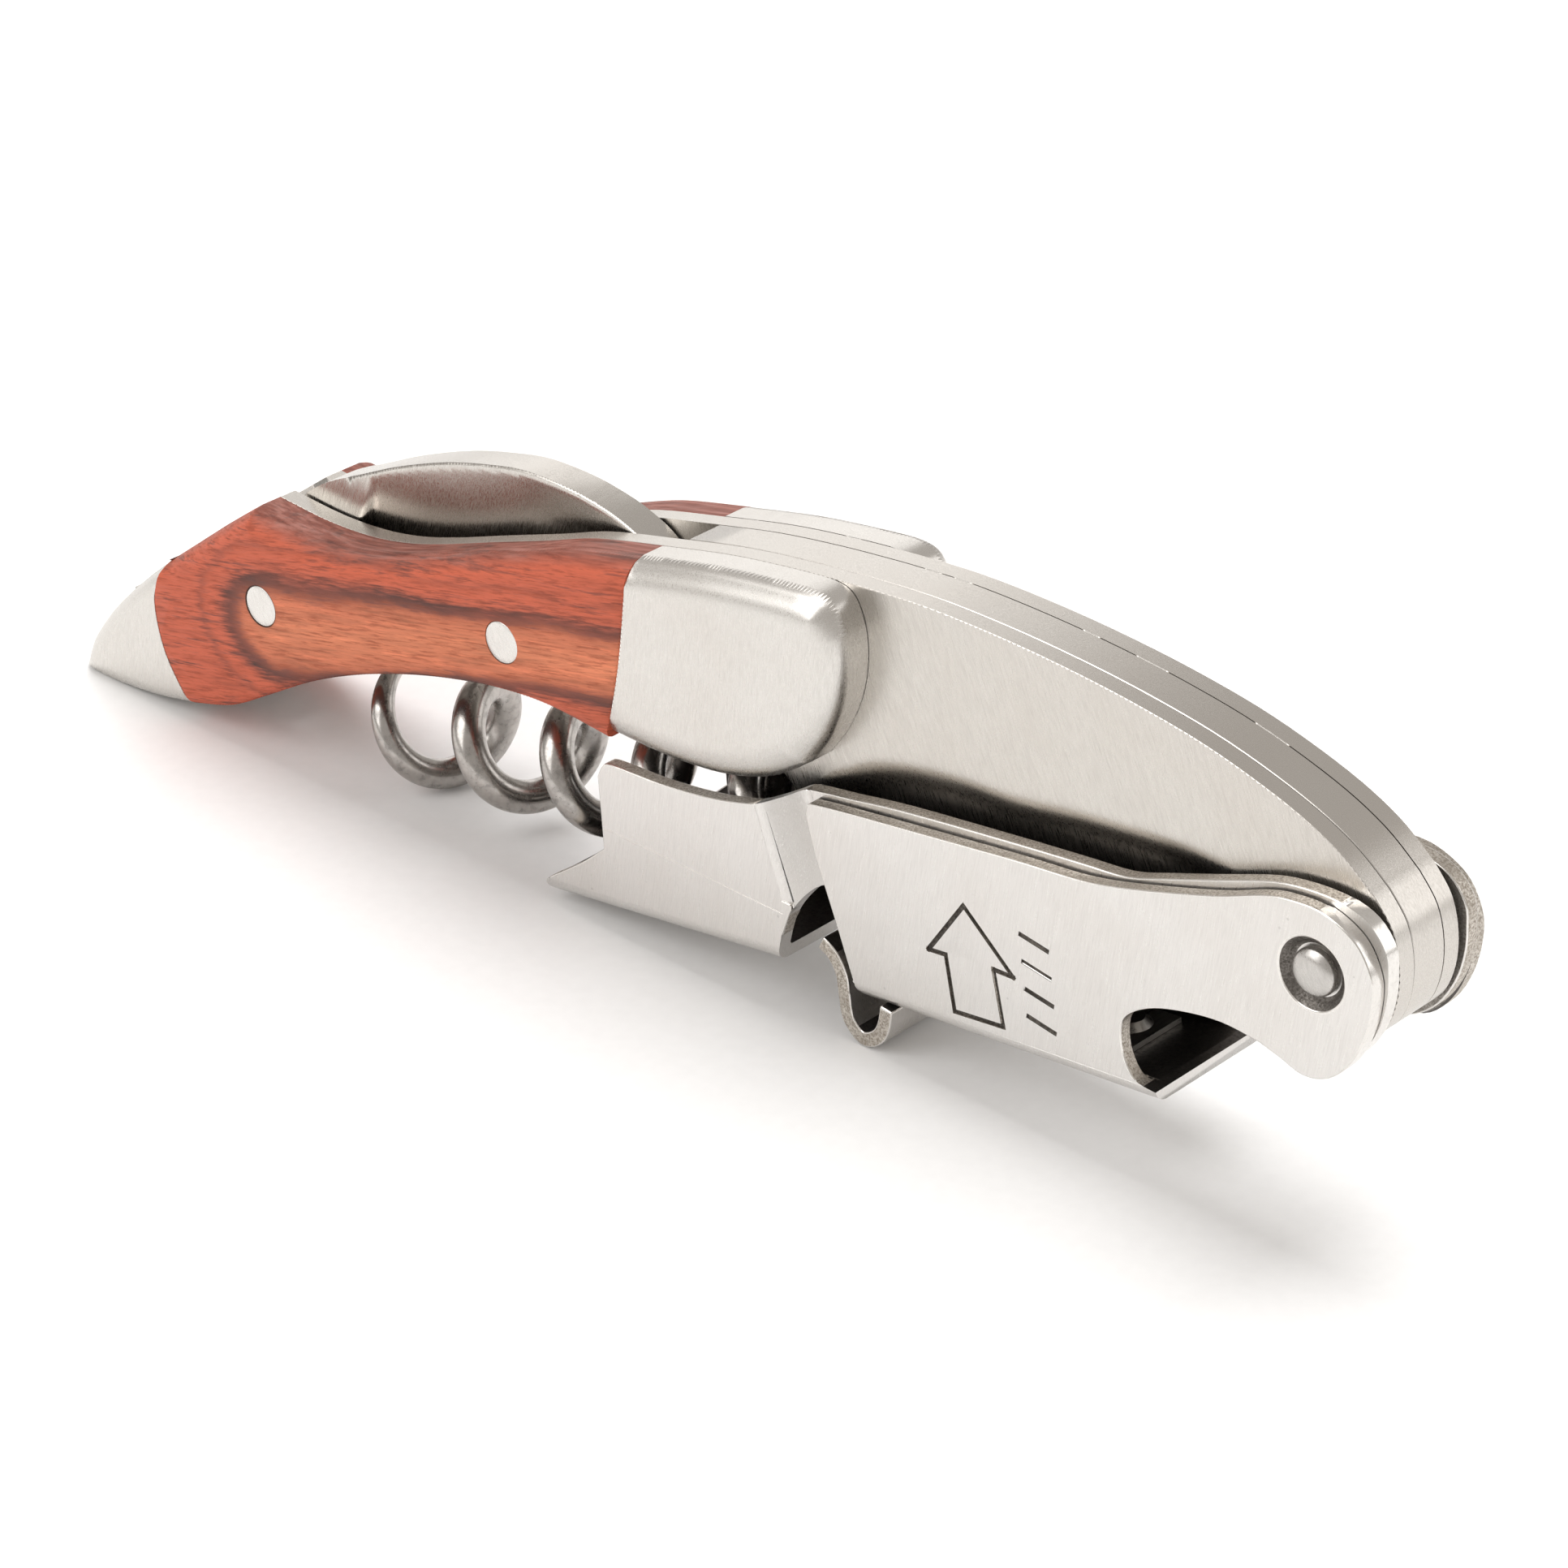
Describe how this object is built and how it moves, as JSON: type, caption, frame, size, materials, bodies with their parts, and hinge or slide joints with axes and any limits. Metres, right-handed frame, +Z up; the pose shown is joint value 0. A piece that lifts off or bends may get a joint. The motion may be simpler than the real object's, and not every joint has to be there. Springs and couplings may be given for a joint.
{
  "type": "lever corkscrew",
  "caption": "Folding lever corkscrew with wood scales, steel bolsters, a foil knife, a coiled worm and a hinged two-part lever with a crown-cap notch.",
  "frame": {"origin": "middle of the base of the folded corkscrew's bounding box", "axes": "+X from the tail with the knife pivot towards the lever pivot, +Y through the handle's thickness towards the back scale, +Z up from the surface it stands on"},
  "size_m": [0.1216, 0.0136, 0.0333],
  "materials": {
    "steel_liner": "satin, brushed across",
    "steel_bolster": "satin, brushed, rounded edges polished",
    "steel_blade": "satin spine, ground sides",
    "steel_lever": "fine satin, polished edges",
    "steel_pin": "flush and polished",
    "steel_worm": "drawn wire, polished",
    "steel_spring": "plain spring steel",
    "wood_scale": "oiled, dark streaks along the grain"
  },
  "bodies": {
    "handle": {"front_liner": "steel_liner", "back_liner": "steel_liner", "backspring": "steel_liner", "tail_spacer": "steel_liner", "front_tail_cap": "steel_bolster", "back_tail_cap": "steel_bolster", "front_scale": "wood_scale", "back_scale": "wood_scale", "front_bolster": "steel_bolster", "back_bolster": "steel_bolster", "knife_pin": "steel_pin", "scale_pin": "steel_pin", "bolster_pins": "steel_pin", "tail_rivet": "steel_pin", "worm_pin": "steel_pin", "pivot_washers": "steel_spring"},
    "knife": {"knife_blade": "steel_blade"},
    "screw": {"worm": "steel_worm"},
    "long_arm": {"long_lever": "steel_lever", "lever_rivet": "steel_pin", "spring_pin": "steel_pin"},
    "short_arm": {"short_lever": "steel_lever", "leaf_spring": "steel_spring", "spring_rivet": "steel_spring"}
  },
  "joints": [
    {"name": "lever_hinge", "type": "hinge", "parent": "handle", "child": "long_arm", "pos_m": [0.05582, 0, 0.02119], "axis": [0, -1, 0], "range_deg": [0, 170]},
    {"name": "short_lever_push", "type": "hinge", "parent": "long_arm", "child": "short_arm", "pos_m": [0.05582, 0, 0.02119], "axis": [0, 1, 0], "range_deg": [0, 2.5], "stiffness_Nm_per_rad": 0.5, "springref_deg": -11.46, "deforming": ["leaf_spring"]},
    {"name": "worm_hinge", "type": "hinge", "parent": "handle", "child": "screw", "pos_m": [0.01342, 0, 0.01244], "axis": [0, -1, 0], "range_deg": [0, 90]},
    {"name": "knife_hinge", "type": "hinge", "parent": "handle", "child": "knife", "pos_m": [-0.03913, 0, 0.01294], "axis": [0, -1, 0], "range_deg": [0, 155]}
  ],
  "couplings": [
    {"joint": "worm_hinge", "follows": "lever_hinge", "ratio": 0.5294}
  ]
}
